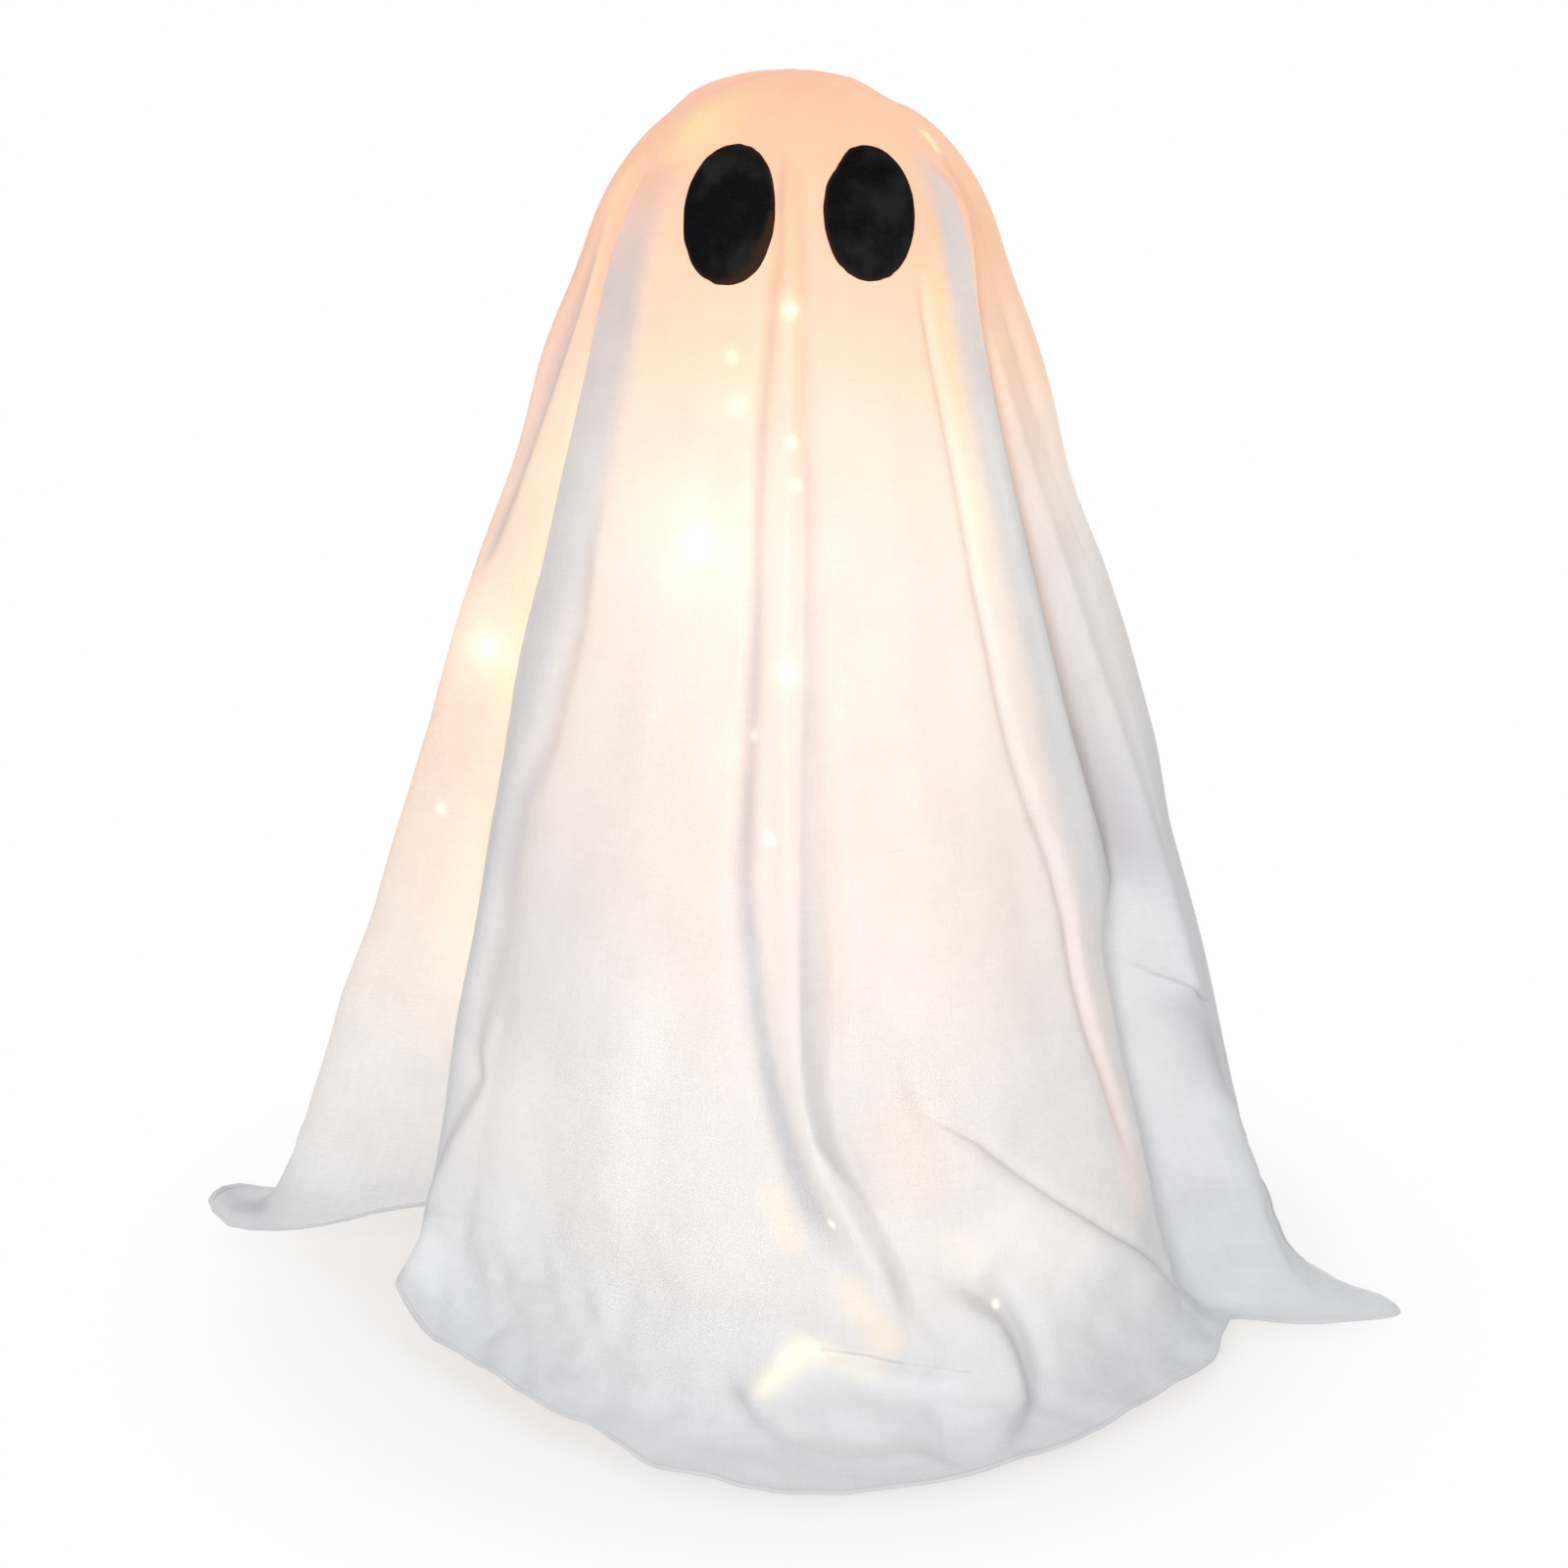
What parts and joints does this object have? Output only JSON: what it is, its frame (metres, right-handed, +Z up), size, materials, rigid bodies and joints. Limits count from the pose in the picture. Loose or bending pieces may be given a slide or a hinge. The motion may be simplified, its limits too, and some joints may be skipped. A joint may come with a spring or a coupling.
{
  "type": "solar ghost garden light",
  "caption": "Ghost-shaped garden light: a white cloth cover with dark felt eyes drapes over a lit globe head on a wire cone stand, with a solar cap behind the head and a light string inside.",
  "frame": {"origin": "on the ground, at the centre of the circle of peg holes in the feet, below the globe", "axes": "+Z up, -Y the way the ghost faces, +X to the right of someone looking at its face"},
  "size_m": [0.6297, 0.5343, 0.6405],
  "materials": {
    "cloth": "plain weave",
    "tape": "woven tape",
    "felt": "felt",
    "globe": "frosted",
    "moulding": "fine grain",
    "rubber": "matte",
    "copper": "enamelled",
    "bead": "clear resin",
    "clip": "moulded",
    "wire": "powder coat",
    "steel": "zinc plated",
    "lens": "clear",
    "cell": "glossy",
    "board": "solder mask",
    "battery": "sleeve",
    "button": "matte",
    "lamp_board": "white mask"
  },
  "bodies": {
    "stand": {"globe_shell": "globe", "crown_hub": "moulding", "neck_nut": "moulding", "string_gland": "rubber", "head_lead": "rubber", "led_wire": "copper", "led_beads": "bead", "string_clips": "clip", "rib_rear_right": "wire", "rib_rear_left": "wire", "rib_front_left": "wire", "rib_front_right": "wire", "rib_screws": "steel", "hoop_upper": "wire", "hoop_middle": "wire", "hoop_lower": "wire", "hoop_clips": "clip", "foot_rear_right": "moulding", "foot_rear_left": "moulding", "foot_front_left": "moulding", "foot_front_right": "moulding"},
    "cover": {"ghost_cover": "cloth", "window_binding": "tape", "eye_left": "felt", "eye_right": "felt"},
    "solar_cap": {"cap_housing": "moulding", "cap_gasket": "rubber", "bezel_ring": "moulding", "bezel_screws": "steel", "solar_lens": "lens", "solar_cell": "cell", "control_board": "board", "board_screws": "steel", "mode_switch": "moulding", "battery_tray": "moulding", "battery_cell": "battery", "battery_plate": "steel", "battery_spring": "steel", "cap_floor": "moulding", "floor_screws": "steel", "lamp_board": "lamp_board", "lamp_leds": "bead"},
    "power_button": {"power_button": "button"}
  },
  "joints": [
    {"name": "cover_lift", "type": "slide", "parent": "stand", "child": "cover", "axis": [0, 0, 1], "range_m": [0, 0.66]},
    {"name": "cap_turn", "type": "hinge", "parent": "stand", "child": "solar_cap", "pos_m": [0, 0, 0.54], "axis": [0, 0.766, 0.6428], "range_deg": [0, 30]},
    {"name": "power_button_press", "type": "slide", "parent": "solar_cap", "child": "power_button", "axis": [0, -0.766, -0.6428], "range_m": [0, 0.0012], "stiffness_N_per_m": 400, "springref_m": -0.0005}
  ]
}
